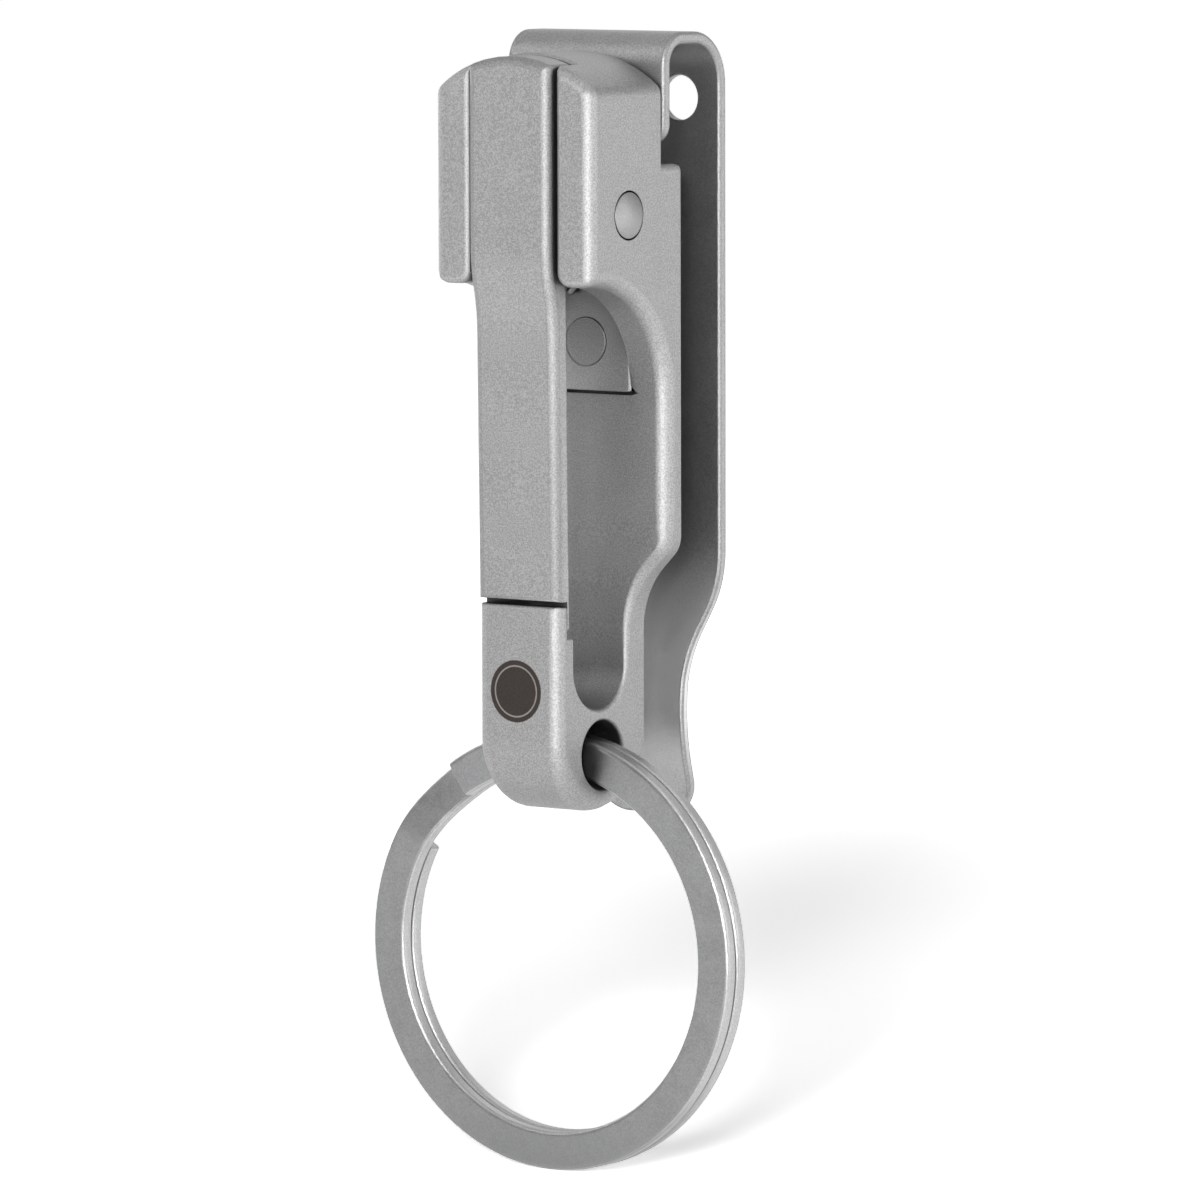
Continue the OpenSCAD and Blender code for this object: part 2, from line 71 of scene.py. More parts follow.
# %% [markdown]
# ## The workbench
# The maker's drawing is in millimetres, with the hook's front at Y = 0 and its foot at Z = 0. The
# frame is in metres, with its origin at the top of the belt slot. Every piece is built on the
# drawing's numbers and moved into the frame by one matrix at the end, so the numbers stay
# readable.

# %% From the drawing to the frame
BELT_MIDDLE = 13.225
SLOT_TOP = 56.0
INTO_FRAME = Matrix.Scale(0.001, 4) @ Matrix.Translation((0, -BELT_MIDDLE, -SLOT_TOP))

# %% [markdown]
# ## A pen for outlines
# Machined parts are outlines cut through a thickness. An outline could be typed as a long list of
# points, but its arcs would be hard to read. This pen draws as a drawing is dimensioned: straight
# to a point, or round a centre by an angle, which is Blender's spin on a single vertex. Half an
# outline is enough where a part is symmetrical, because mirror adds the other half.

# %% The pen
RIGHT, BACK, UP = Vector((1, 0, 0)), Vector((0, 1, 0)), Vector((0, 0, 1))
SIDE, FRONT, PLAN = (BACK, UP, RIGHT), (RIGHT, UP, BACK), (RIGHT, BACK, UP)


class Pen:
    """Draws a closed outline on a plane, then cuts it through a thickness."""

    def __init__(self, plane, *start):
        self.across, self.up, self.depth = plane
        self.bm = bmesh.new()
        self.tip = self.bm.verts.new(self.place(*start))

    def place(self, a, b):
        return self.across * a + self.up * b

    def line(self, *points):
        for point in points:
            self.tip = bmesh.ops.extrude_vert_indiv(self.bm, verts=[self.tip])["verts"][0]
            self.tip.co = self.place(*point)
        return self

    def arc(self, centre, angle, steps):
        swung = bmesh.ops.spin(self.bm, geom=[self.tip], cent=self.place(*centre),
                               axis=self.across.cross(self.up), angle=radians(angle), steps=steps)
        self.tip = [v for v in swung["geom_last"] if isinstance(v, bmesh.types.BMVert)][0]
        return self

    def mirror(self):
        bmesh.ops.mirror(self.bm, geom=self.bm.verts[:] + self.bm.edges[:], axis="X",
                         merge_dist=1e-4)
        return self

    def through(self, near, far):
        bm = self.bm
        bmesh.ops.remove_doubles(bm, verts=bm.verts, dist=1e-4)
        ends = [v for v in bm.verts if len(v.link_edges) == 1]
        if ends:
            bmesh.ops.contextual_create(bm, geom=ends)
        bmesh.ops.contextual_create(bm, geom=bm.verts[:] + bm.edges[:])
        bmesh.ops.translate(bm, verts=bm.verts, vec=self.depth * near)
        grown = bmesh.ops.extrude_face_region(bm, geom=bm.faces[:], use_keep_orig=True)["geom"]
        bmesh.ops.translate(bm, vec=self.depth * (far - near),
                            verts=[v for v in grown if isinstance(v, bmesh.types.BMVert)])
        bmesh.ops.recalc_face_normals(bm, faces=bm.faces)
        return bm

    def turned(self, axis, steps=64):
        """Spins the outline into a solid, as on a lathe."""
        bm = self.bm
        bmesh.ops.spin(bm, geom=bm.verts[:] + bm.edges[:], cent=(0, 0, 0), axis=axis, angle=2 * pi,
                       steps=steps, use_merge=True)
        bmesh.ops.remove_doubles(bm, verts=bm.verts, dist=1e-4)
        bmesh.ops.recalc_face_normals(bm, faces=bm.faces)
        return bm


def on_bench(bm, name):
    """Turns a bmesh into an object in the scene, still in millimetres."""
    mesh = bpy.data.meshes.new(name)
    bm.to_mesh(mesh)
    bm.free()
    piece = bpy.data.objects.new(name, mesh)
    scene.collection.objects.link(piece)
    return piece

# %% [markdown]
# ## Cutting and joining
# A milling cutter is a solid that removes what it sweeps. The Boolean modifier does that here,
# with its exact solver, which copes with faces that lie on each other. It is applied at once, so
# the next step sees real geometry. Afterwards the flat faces are made whole again by a limited
# dissolve.

# %% Booleans applied at once
def bake(piece):
    """Replaces a piece's mesh by what its modifiers make of it."""
    graph = bpy.context.evaluated_depsgraph_get()
    made = bpy.data.meshes.new_from_object(piece.evaluated_get(graph))
    piece.modifiers.clear()
    old, piece.data = piece.data, made
    bpy.data.meshes.remove(old)


def mill(piece, operation, *tools):
    for bm in tools:
        tool = on_bench(bm, "tool")
        cut = piece.modifiers.new("Cut", "BOOLEAN")
        cut.operation, cut.solver, cut.object = operation, "EXACT", tool
        bake(piece)
        spent = tool.data
        bpy.data.objects.remove(tool)
        bpy.data.meshes.remove(spent)
    return piece


def drill(diameter, lip, near, far, at, along=BACK):
    """A round cutter between two faces, with the rounding that it leaves at each face."""
    r, near, far = diameter / 2, near - 0.02, far + 0.02
    tool = Pen(PLAN, 0, near - 1).line((r + lip, near - 1), (r + lip, near))
    tool.arc((r + lip, near + lip), -90, 5).line((r, far - lip)).arc((r + lip, far - lip), -90, 5)
    bm = tool.line((r + lip, far + 1), (0, far + 1)).turned(BACK)
    bmesh.ops.rotate(bm, verts=bm.verts, cent=(0, 0, 0),
                     matrix=BACK.rotation_difference(along).to_matrix())
    bmesh.ops.translate(bm, verts=bm.verts, vec=at)
    return bm

# %% [markdown]
# ## Rounded edges
# Tumbling and blasting leave no edge sharp, and each edge has its own radius. A rule says how
# round an edge is from where it lies, and the result is stored as the edge's bevel weight. The
# Bevel modifier then rounds them all together, which keeps the corners where three edges meet
# closed and smooth. It also puts the new faces in the second material slot, where the steel is
# worn brighter. All milling and drilling comes before this, because a boolean that crosses
# finished bevels leaves slivers. A drilled hole brings its own rounding, from a cutter that is
# flared where it meets a face, so the rules leave the holes' edges alone. At the end the large
# faces get the say over the normals, so that they look flat and only the rounded strips shade.

# %% Rounding by weight
def soften(piece, radius_at, segments=5, crease=14, worn=1):
    bm = bmesh.new()
    bm.from_mesh(piece.data)
    bmesh.ops.remove_doubles(bm, verts=bm.verts, dist=0.002)
    bmesh.ops.dissolve_limit(bm, angle_limit=radians(0.7), verts=bm.verts, edges=bm.edges)
    bm.normal_update()
    weight = bm.edges.layers.float.new("bevel_weight_edge")
    wanted = {}
    for edge in bm.edges:
        turn = edge.calc_face_angle(0)
        if len(edge.link_faces) == 2 and degrees(turn) > crease:
            middle = (edge.verts[0].co + edge.verts[1].co) / 2
            along = (edge.verts[1].co - edge.verts[0].co).normalized()
            radius = radius_at(middle, along, edge.is_convex)
            if radius:
                wanted[edge] = radius * tan(min(turn, radians(100)) / 2)
    widest = max(wanted.values())
    for edge, width in wanted.items():
        edge[weight] = width / widest
    for face in bm.faces:
        face.smooth = True
    bm.to_mesh(piece.data)
    bm.free()
    rounding = piece.modifiers.new("Rounding", "BEVEL")
    rounding.limit_method, rounding.offset_type = "WEIGHT", "OFFSET"
    rounding.width, rounding.segments, rounding.profile = widest, segments, 0.5
    rounding.use_clamp_overlap, rounding.loop_slide = False, False
    rounding.material = worn
    piece.data.materials.append(None)
    piece.data.materials.append(None)
    bake(piece)
    return piece


def into_frame(piece):
    for face in piece.data.polygons:
        face.use_smooth = True
    even = piece.modifiers.new("Even", "WEIGHTED_NORMAL")
    even.mode, even.weight, even.keep_sharp = "FACE_AREA", 50, False
    bake(piece)
    piece.data.transform(INTO_FRAME)
    piece.data.update()
    piece.data.calc_loop_triangles()
    check = bmesh.new()
    check.from_mesh(piece.data)
    open_edges = sum(len(e.link_faces) != 2 for e in check.edges)
    print(piece.name, "triangles:", len(piece.data.loop_triangles), "open edges:", open_edges)
    check.free()
    return piece


def blend_radius(value, low, high, at_low, at_high):
    """A radius that changes evenly from at_low to at_high as value goes from low to high."""
    share = min(max((value - low) / (high - low), 0), 1)
    return at_low + (at_high - at_low) * share

# %% [markdown]
# ## The hook body
# On the real object this is one steel bar: a forked head, a thin spine behind a scooped finger
# cut, and a J-shaped hook. It was cut from the side and again from the front, so it is made the
# same way here: the side outline and the front outline are each cut through a block, and what is
# common to both is kept. Modelling it by pushing faces about would lose the even curves.

# %% Side outline of the body
HEAD_HALF = 7.1
BAR_HALF = 3.7
CROWN_R = 11.0
CROWN_Z = 44.5
CORNER_R = 1.1
CORNER_Z = CROWN_Z + sqrt((CROWN_R - CORNER_R) ** 2 - (HEAD_HALF - CORNER_R) ** 2)
corner_angle = degrees(acos((HEAD_HALF - CORNER_R) / (CROWN_R - CORNER_R)))
FINGER_CUT, SLOT_ARC, FOOT = (0.6, 30.5), (5.2, 10.7), (5.45, 5.45)
side = Pen(SIDE, -0.5, 56).line((-0.5, 38.7), (0.6, 38.7)).arc(FINGER_CUT, -90, 24)
side.line((8.8, 22.5), (8.4, 10.7)).arc(SLOT_ARC, -180, 40)
side.line((2.0, 13.0), (1.1, 13.0), (1.1, 15.4), (0, 15.4), (0, 5.45)).arc(FOOT, 180, 96)
side.line((10.9, 47.3), (8.5, 47.3), (8.5, 56))
hook_body = on_bench(side.through(-8, 8), "hook_body_soft")
print("side outline corners:", len(hook_body.data.vertices) // 2)

# %% Front outline, and what both outlines share
front = Pen(FRONT, 0, -1).line((BAR_HALF, -1), (BAR_HALF, 13.05)).arc((10.3, 13.05), -45, 24)
front.line((6.4556, 18.5444)).arc((4.9, 20.1), 45, 24).line((HEAD_HALF, CORNER_Z))
front.arc((HEAD_HALF - CORNER_R, CORNER_Z), corner_angle, 6).arc((0, CROWN_Z), 11.7, 4)
front.arc((0, CROWN_Z), 5.4, 1).arc((0, CROWN_Z), 90 - corner_angle - 17.1, 6)
mill(hook_body, "INTERSECT", front.mirror().through(-2, 12))
print("after both outlines:", len(hook_body.data.polygons), "faces")

# %% [markdown]
# The hook's front wall is as narrow as the bar all the way up, where the spine behind it has
# begun to widen, so its two sides are milled away. Then one long cutter, seen from the side,
# opens the fork for the gate, the pocket for the clip's tongue and the notch for the gate's top.

# %% Milling the hook's sides and the fork
FORK_HALF = 3.85
RING_HOLE, PIN_AT, LOWER_RIVET_Z = (5.5, 4.2), (4.2, 43.8), 34.2
for hand in (-1, 1):
    cheek = Pen(FRONT, hand * BAR_HALF, 13.05)
    cheek.line((hand * 9, 13.05), (hand * 9, 18), (hand * BAR_HALF, 18))
    mill(hook_body, "DIFFERENCE", cheek.through(-3, 5))
    flare = Pen(FRONT, hand * FORK_HALF, 39.8).arc((hand * (FORK_HALF + 1.1), 39.8), hand * 90, 8)
    flare.line((hand * (FORK_HALF + 1.1), 36), (hand * 3, 36), (hand * 3, 39.8))
    mill(hook_body, "DIFFERENCE", flare.through(-3, 0.6))
fork = Pen(SIDE, -3, 30.35).line((9.46, 30.35), (9.46, 48.3), (8.5, 48.3), (8.5, 49.9),
                                 (2.15, 49.9), (2.15, 58), (-3, 58))
mill(hook_body, "DIFFERENCE", fork.through(-FORK_HALF, FORK_HALF))
mill(hook_body, "DIFFERENCE", drill(5.0, 0.35, -BAR_HALF, BAR_HALF, (0, *RING_HOLE), RIGHT),
     drill(3.6, 0.1, -HEAD_HALF, HEAD_HALF, (0, *PIN_AT), RIGHT),
     drill(2.3, 0.08, 8, 10.9, (0, 0, LOWER_RIVET_Z)))
print("after milling:", len(hook_body.data.polygons), "faces")

# %% [markdown]
# The radii follow the photograph. The hook's front edges are the roundest, the finger cut's outer
# edge is rounded for the hand, and the spine's back edges stay tight. A radius may only change
# where the edge is straight or turns by less than two degrees a step, because the bevel then
# treats its neighbours as one line. That is why the foot and the taper are drawn in such fine
# steps. The walls beside the gate and the lip's top look into a joint of half a millimetre, where
# hardly any light comes in. They go to a third material slot, whose nearly black colour is that
# shade painted in.

# %% Radii of the hook body
def near_arc(p, centre, radius, within=0.06):
    return abs(Vector((p.y - centre[0], p.z - centre[1])).length - radius) < within


def body_radius(p, along, convex):
    half = abs(p.x)
    if not convex or near_arc(p, RING_HOLE, 2.7, 0.25) or near_arc(p, PIN_AT, 1.85, 0.15):
        return 0
    if p.y > 10 and Vector((p.x, p.z - LOWER_RIVET_Z)).length < 1.5:
        return 0
    if p.z < 5.46 and near_arc(p, FOOT, 5.45):
        return blend_radius(p.z, 0, 5, 1.35, 0.9 if p.y < 5.45 else 0.45)
    if p.z < 16 and p.y < 0.01 and abs(along.z) > 0.9:
        return 0.9
    if p.z < 16 and p.y < 2.1 and not near_arc(p, SLOT_ARC, 3.2):
        return 0.3 if p.y < 0.6 or p.y > 1.9 else 0.1
    if p.z < 11 and near_arc(p, SLOT_ARC, 3.2):
        return 0.3
    if p.y > 10.7:
        return 0.45
    if p.z > 47 and p.y > 8.3:
        return 0.15 if half < 4 and p.z < 50 else 0.55
    if near_arc(p, FINGER_CUT, 8.2) and p.z > 30.6:
        return 1.05 if half > 6.9 else 0.12 if half < 3.9 else 0.5
    if p.z < 30.6 and p.y > 8.3 and half > 3.6:
        return blend_radius(p.z, 12, 24, 0.35, 1.05)
    if p.y < -0.45:
        return 0.85 if p.z > 50 or half > 4.96 and p.z > 38.8 else 0.5
    if half < 5 and p.z < 40 and p.y > 0.5:
        return 0
    return 0.25 if p.z > 50 else 0.12


# %% Rounding the body, and the faces in the joint
soften(hook_body, body_radius)
# Painted shade: faces in the joint beside the gate and on the lip's top take the third slot.
hook_body.data.materials.append(None)
for face in hook_body.data.polygons:
    at = face.center
    beside_gate = at.z > 39.5 and at.y < 0.1 and abs(at.x) < 4.4
    if beside_gate and face.normal.x * at.x < -0.85 * abs(at.x):
        face.material_index = 2
    if 15.2 < at.z < 15.5 and 0.2 < at.y < 1.2 and face.normal.z > 0.8:
        face.material_index = 2
into_frame(hook_body)

# %% [markdown]
# ## The gate
# The gate is the bar that swings in between the fork's cheeks. Its tip sits behind the hook's
# lip, and the joint above the lip stays wide enough for the gate's front corner to pass as it
# swings. It has the same crown as the body, a little lower, with a well rounded front edge at the
# top where the thumb rests. Two ears behind it carry the pin. Again two outlines make it, and the
# ears are joined on.

# %% The gate and its ears
GATE_HALF = 3.65
GATE_CROWN_R = 10.85
blade = Pen(SIDE, -1.1, 57).line((-1.1, 41.5)).arc((13.17, 41.5), 13.16, 8)
blade.arc((-14.62, 35), -13.16, 8)
blade.line((0, 15.75), (1.17, 15.75), (1.17, 13.65), (1.55, 13.95), (1.2, 40), (1.55, 42.5),
           (1.55, 47.4), (1.95, 49.9), (1.95, 57))
gate = on_bench(blade.through(-5, 5), "gate_soft")
gate_front = Pen(FRONT, 0, 10).line((GATE_HALF, 10))
gate_front.line((GATE_HALF, CROWN_Z + sqrt(GATE_CROWN_R ** 2 - GATE_HALF ** 2)))
gate_front.arc((0, CROWN_Z), 90 - degrees(acos(GATE_HALF / GATE_CROWN_R)), 3)
mill(gate, "INTERSECT", gate_front.mirror().through(-3, 4))
for hand in (-1, 1):
    ear = Pen(SIDE, 1.0, 40.7).line((4.2, 40.7)).arc(PIN_AT, 180, 24).line((1.0, 46.9))
    mill(gate, "UNION", ear.through(*sorted((hand * 2.4, hand * GATE_HALF))))
mill(gate, "DIFFERENCE", drill(3.5, 0.08, -GATE_HALF, GATE_HALF, (0, *PIN_AT), RIGHT))
print("gate faces:", len(gate.data.polygons))


# %% Radii of the gate
def gate_radius(p, along, convex):
    half = abs(p.x)
    if not convex or near_arc(p, PIN_AT, 1.85, 0.15):
        return 0
    if p.z > 50.5:
        return 0.7 if p.y < -1.0 else 0.3
    if p.y > 1.7 and 40 < p.z < 47.5:
        return 0.12
    if p.z < 15.85:
        return 0.3 if p.z > 15.65 and p.y < 0.5 else 0
    if half > 3.6 and p.y < 0.05:
        return 0.7
    return 0.2


soften(gate, gate_radius)
# Painted shade: the gate's tip behind the lip takes the nearly black third slot.
gate.data.materials.append(None)
for face in gate.data.polygons:
    if face.center.z < 15.8 and face.center.y < 1.4:
        face.material_index = 2
into_frame(gate)

# %% [markdown]
# ## The belt clip
# The clip is one strip of sheet steel, 0.9 mm thick, folded over the belt. It could be a flat
# strip bent by modifiers, but its outline narrows below in the front view while it leans and
# flares in the side view. The side view of the bent sheet, cut by the front outlines of its two
# legs, gives both at once.

# %% Side view of the bent sheet
SEAT_Y = 8.53
strip = Pen(SIDE, SEAT_Y, 30.6).line((SEAT_Y, 54.5)).arc((10.93, 54.5), -90, 14).line((12.55, 56.9))
strip.arc((12.55, 53.0), -90, 20).line((16.45, 16.9)).arc((-13.55, 16.9), -9, 6)
strip.line((15.5803, 9.0462)).arc((30.939, 6.6137), 24, 14).line((16.961, -1.3), (16.030, -1.3))
strip.line((15.0496, 2.3562)).arc((30.939, 6.6137), -24, 14).line((15.192, 12.3477))
strip.arc((-13.55, 16.9), 9, 6).line((15.55, 53.0)).arc((12.55, 53.0), 90, 20)
strip.line((10.93, 56.0)).arc((10.93, 54.5), 90, 14).line((9.43, 30.6))
belt_clip = on_bench(strip.through(-8, 8), "belt_clip_soft")
print("sheet outline corners:", len(belt_clip.data.vertices) // 2)

# %% Front outlines of the two legs
leg = Pen(FRONT, 0, 29).line((3.82, 29), (3.82, 48.75), (5.6, 48.75)).arc((5.6, 50.25), 90, 10)
leg.line((HEAD_HALF, 58), (0, 58))
rear = Pen(FRONT, 0, -1.3).line((1.65, -1.3)).arc((1.65, 1.4), 90, 16).line((4.35, 8.344))
rear.arc((14.35, 8.344), -26, 10).line((6.0879, 14.2163)).arc((-2.9, 18.6), 26, 10)
rear.line((HEAD_HALF, 58), (0, 58))
legs = on_bench(leg.mirror().through(7, 13.3), "legs")
mill(legs, "UNION", rear.mirror().through(13.1, 20))
both = bmesh.new()
both.from_mesh(legs.data)
bpy.data.objects.remove(legs)
mill(belt_clip, "INTERSECT", both)
print("clip faces:", len(belt_clip.data.polygons))

# %% [markdown]
# Rivets hold the clip, and a rivet's head sits in a countersink, so both are turned from the same
# half profile. The countersink is the profile grown by a hair, which leaves the thin dark circle
# that shows round each head.

# %% Rivets and their countersinks
def turned_rivet(head_r, shank_r, length, at, away, gap=0.0, chamfer=0.0):
    """A countersunk rivet with its head at a point and its shank pointing away, along Y."""
    shape = Pen(PLAN, 0, -gap).line((head_r + gap - chamfer, -gap), (head_r + gap, chamfer))
    bm = shape.line((shank_r + gap, 0.9), (shank_r + gap, length), (0, length)).turned(BACK)
    bmesh.ops.scale(bm, verts=bm.verts, vec=(1, away, 1))
    bmesh.ops.recalc_face_normals(bm, faces=bm.faces)
    bmesh.ops.translate(bm, verts=bm.verts, vec=at)
    return bm


LOWER = dict(head_r=1.8, shank_r=1.1, length=2.35, at=(0, SEAT_Y, LOWER_RIVET_Z), away=1)
UPPER_X, UPPER_Z = 3.4, 51.9
UPPER = [dict(head_r=1.5, shank_r=1.1, length=4.9, at=(x, 9.43, UPPER_Z), away=-1)
         for x in (-UPPER_X, UPPER_X)]
for rivet in [LOWER] + UPPER:
    mill(belt_clip, "DIFFERENCE", turned_rivet(**rivet, gap=0.1))
for x in (-UPPER_X, UPPER_X):
    mill(belt_clip, "DIFFERENCE", drill(3.3, 0.2, 15.55, 16.45, (x, 0, UPPER_Z)))


# %% Radii of the clip
def clip_radius(p, along, convex):
    if not convex:
        return 0
    by_lower = p.y < 10 and Vector((p.x, p.z - LOWER_RIVET_Z)).length < 2
    by_upper = Vector((abs(p.x) - UPPER_X, p.z - UPPER_Z)).length < 2
    if by_lower or by_upper:
        return 0
    if p.y < 10 and p.z < 48.6:
        return 0 if abs(along.z) > 0.9 else 0.08
    return 0.27


into_frame(soften(belt_clip, clip_radius, segments=4, crease=25))
print("clip faces after rounding:", len(belt_clip.data.polygons))

# %% [markdown]
# ## The split ring
# A split ring is flat wire wound twice, with one turn passing over to the other between the two
# cut ends. The wire's rounded section is walked round the ring in small steps with extrude, turn
# and shift, and the shift takes place only in the crossing. Tumbling polishes the rim more than
# the flat sides, so every face that doesn't look along the ring's axis takes the brighter second
# finish.

# %% The flat wire's section
RING_MIDDLE = Vector((-0.5, 5.5, -10.54))
WIRE_WIDE, WIRE_THICK = 2.85, 1.15
RING_IN_R = 13.35
LAYER = (WIRE_THICK + 0.1) / 2
FRONT_END = 124.5
CROSS_START, CROSS_LENGTH = 333.5, 28


def layer_at(walked):
    """Depth of the wire's middle after walking so many degrees from the front layer's end."""
    share = min(max((walked - CROSS_START) / CROSS_LENGTH, 0), 1)
    return -LAYER * cos(pi * share)


wire = bmesh.new()
bmesh.ops.create_grid(wire, x_segments=1, y_segments=1, size=0.5)
bmesh.ops.scale(wire, verts=wire.verts, vec=(WIRE_WIDE, WIRE_THICK, 1))
bmesh.ops.bevel(wire, geom=wire.verts[:], affect="VERTICES", offset=0.36, segments=5, profile=0.5,
                material=-1)
bmesh.ops.rotate(wire, verts=wire.verts, cent=(0, 0, 0), matrix=Matrix.Rotation(pi, 3, "Z"))
bmesh.ops.translate(wire, verts=wire.verts, vec=(RING_IN_R + WIRE_WIDE / 2, 0, 0))
bmesh.ops.rotate(wire, verts=wire.verts, cent=(0, 0, 0),
                 matrix=Matrix.Rotation(-radians(FRONT_END), 3, "Y"))
bmesh.ops.translate(wire, verts=wire.verts, vec=RING_MIDDLE + Vector((0, layer_at(0), 0)))
rim = wire.edges[:]
print("corners of the wire's section:", len(wire.verts))

# %% Walking the section round
WALK, STRIDE = 694.5, 463
for step in range(STRIDE):
    grown = bmesh.ops.extrude_edge_only(wire, edges=rim)["geom"]
    verts = [v for v in grown if isinstance(v, bmesh.types.BMVert)]
    rim = [e for e in grown
           if isinstance(e, bmesh.types.BMEdge) and all(v in verts for v in e.verts)]
    bmesh.ops.rotate(wire, verts=verts, cent=RING_MIDDLE,
                     matrix=Matrix.Rotation(radians(WALK / STRIDE), 3, "Y"))
    slide = layer_at(WALK * (step + 1) / STRIDE) - layer_at(WALK * step / STRIDE)
    bmesh.ops.translate(wire, verts=verts, vec=(0, slide, 0))
bmesh.ops.contextual_create(wire, geom=rim)
bmesh.ops.recalc_face_normals(wire, faces=wire.faces)
split_ring = on_bench(wire, "split_ring_soft")
print("ring faces:", len(split_ring.data.polygons))


def ring_radius(p, along, convex):
    return 0.12


soften(split_ring, ring_radius, segments=3, crease=60)
for face in split_ring.data.polygons:
    face.material_index = 0 if abs(face.normal.y) > 0.85 else 1
into_frame(split_ring)

# %% [markdown]
# ## The pin and the rivets
# The pivot pin is turned and its ends are struck slightly domed, so each shows as a small cushion
# with a dark line round it. A half profile is drawn with the pen's spin and turned by a full
# spin.

# %% Turning the pin
PIN_R, PIN_DOME, PIN_HALF = 1.7, 0.4, 7.1
dome_r = (PIN_R ** 2 + PIN_DOME ** 2) / (2 * PIN_DOME)
dome_angle = degrees(acos(1 - PIN_DOME / dome_r))
pin_profile = Pen(FRONT, PIN_HALF + PIN_DOME, 0)
pin_profile.arc((PIN_HALF + PIN_DOME - dome_r, 0), dome_angle, 8).line((0, PIN_R)).mirror()
pin = pin_profile.turned(RIGHT)
bmesh.ops.translate(pin, verts=pin.verts, vec=(0, *PIN_AT))
pivot_pin = on_bench(pin, "pivot_pin_soft")
into_frame(soften(pivot_pin, lambda p, along, convex: 0.1, segments=3, crease=25))

# %% Turning the rivets
rivets = {}
for name, rivet in zip(("lower_rivet", "upper_rivet_left", "upper_rivet_right"), [LOWER] + UPPER):
    rivets[name] = on_bench(turned_rivet(**rivet, chamfer=0.05), name + "_soft")
    into_frame(soften(rivets[name], lambda p, along, convex: 0.04 if convex else 0, segments=2,
                      crease=25))

# %% [markdown]
# ## The spring
# A torsion spring sits on the pin. One leg presses on the gate's back and the other on the
# tongue. It is a wound wire, so a curve with a round bevel suits it better than a mesh swept by
# hand: the handles smooth the path, and the curve is made a mesh once it is right.

# %% The spring's path
WIRE_D, TURNS = 0.6, 3
COIL_R = PIN_R + 0.2 + WIRE_D / 2
START, END = -20, -20 - 360 * TURNS - 150
COIL_HALF = 1.1 * (START - END) / 720
LEG_Y, TONGUE_Y = 1.95, 8.13
PIN_Y, PIN_Z = PIN_AT
COUNT = 41
path = [(COIL_HALF - 3, TONGUE_Y, PIN_Z - 6), (COIL_HALF - 1.5, TONGUE_Y, PIN_Z - 4.2),
        (COIL_HALF, TONGUE_Y - WIRE_D, PIN_Z - 2.1)]
for i in range(COUNT + 1):
    a = radians(START + (END - START) * i / COUNT)
    path.append((COIL_HALF * (1 - 2 * i / COUNT), PIN_Y + COIL_R * cos(a), PIN_Z + COIL_R * sin(a)))
path += [(-COIL_HALF, LEG_Y, PIN_Z - 2.7), (-COIL_HALF, LEG_Y, PIN_Z - 4.8)]
print("points on the spring's path:", len(path))

# %% From path to wire
coil = bpy.data.curves.new("coil", "CURVE")
coil.dimensions, coil.bevel_depth, coil.bevel_resolution = "3D", WIRE_D / 2, 3
coil.resolution_u, coil.use_fill_caps = 5, True
line = coil.splines.new("BEZIER")
line.bezier_points.add(len(path) - 1)
for knot, point in zip(line.bezier_points, path):
    knot.co = point
    knot.handle_left_type = knot.handle_right_type = "AUTO"
wound = bpy.data.objects.new("wound", coil)
scene.collection.objects.link(wound)
shape = bpy.data.meshes.new_from_object(wound.evaluated_get(bpy.context.evaluated_depsgraph_get()))
bpy.data.objects.remove(wound)
gate_spring = bpy.data.objects.new("gate_spring_soft", shape)
scene.collection.objects.link(gate_spring)
sealed = bmesh.new()
sealed.from_mesh(shape)
bmesh.ops.remove_doubles(sealed, verts=sealed.verts, dist=1e-4)
bmesh.ops.recalc_face_normals(sealed, faces=sealed.faces)
for face in sealed.faces:
    face.smooth = True
sealed.to_mesh(shape)
sealed.free()
shape.materials.clear()
shape.materials.append(None)
into_frame(gate_spring)

# %% [markdown]
# ## Shader maths as sentences
# A material is a graph of nodes, and wiring one by hand hides what it computes. This small class
# wraps a socket, so that a sum or a product written in Python becomes Math nodes. Any other node
# comes from one method that takes its type, its settings and its inputs.

# %% A value in a node graph
class Value:
    """One output socket of a node, which can be used in Python expressions."""

    def __init__(self, graph, socket):
        self.graph, self.socket = graph, socket

    def math(self, operation, first, second):
        return self.graph.add("ShaderNodeMath", {"operation": operation}, {0: first, 1: second})

    def __add__(self, other):
        return self.math("ADD", self, other)

    def __sub__(self, other):
        return self.math("SUBTRACT", self, other)

    def __rsub__(self, other):
        return self.math("SUBTRACT", other, self)

    def __mul__(self, other):
        return self.math("MULTIPLY", self, other)

    __radd__ = __add__

    def also(self, output):
        """Another output of the same node."""
        return Value(self.graph, self.socket.node.outputs[output])

    def between(self, low, high, to_low=0.0, to_high=1.0):
        """Maps low..high to to_low..to_high smoothly, and holds the ends."""
        return self.graph.add("ShaderNodeMapRange", {"interpolation_type": "SMOOTHSTEP"},
                              {"Value": self, "From Min": low, "From Max": high,
                               "To Min": to_low, "To Max": to_high})


class Graph:
    """A node tree that is written as expressions."""

    def __init__(self, tree):
        self.tree = tree
        tree.nodes.clear()

    def add(self, kind, settings=None, inputs=None):
        node = self.tree.nodes.new(kind)
        for name, value in (settings or {}).items():
            setattr(node, name, value)
        for name, value in (inputs or {}).items():
            if isinstance(value, Value):
                self.tree.links.new(value.socket, node.inputs[name])
            else:
                node.inputs[name].default_value = value
        return Value(self, node.outputs[0]) if len(node.outputs) else None

    def mix(self, share, first, second):
        """A colour between two. The Mix node's colour sockets are numbers 6, 7 and 2."""
        return self.add("ShaderNodeMix", {"data_type": "RGBA"},
                        {0: share, 6: first, 7: second}).also(2)


def grey(level, warmth=0.0):
    return (level * (1 + warmth), level, level * (1 - warmth), 1)
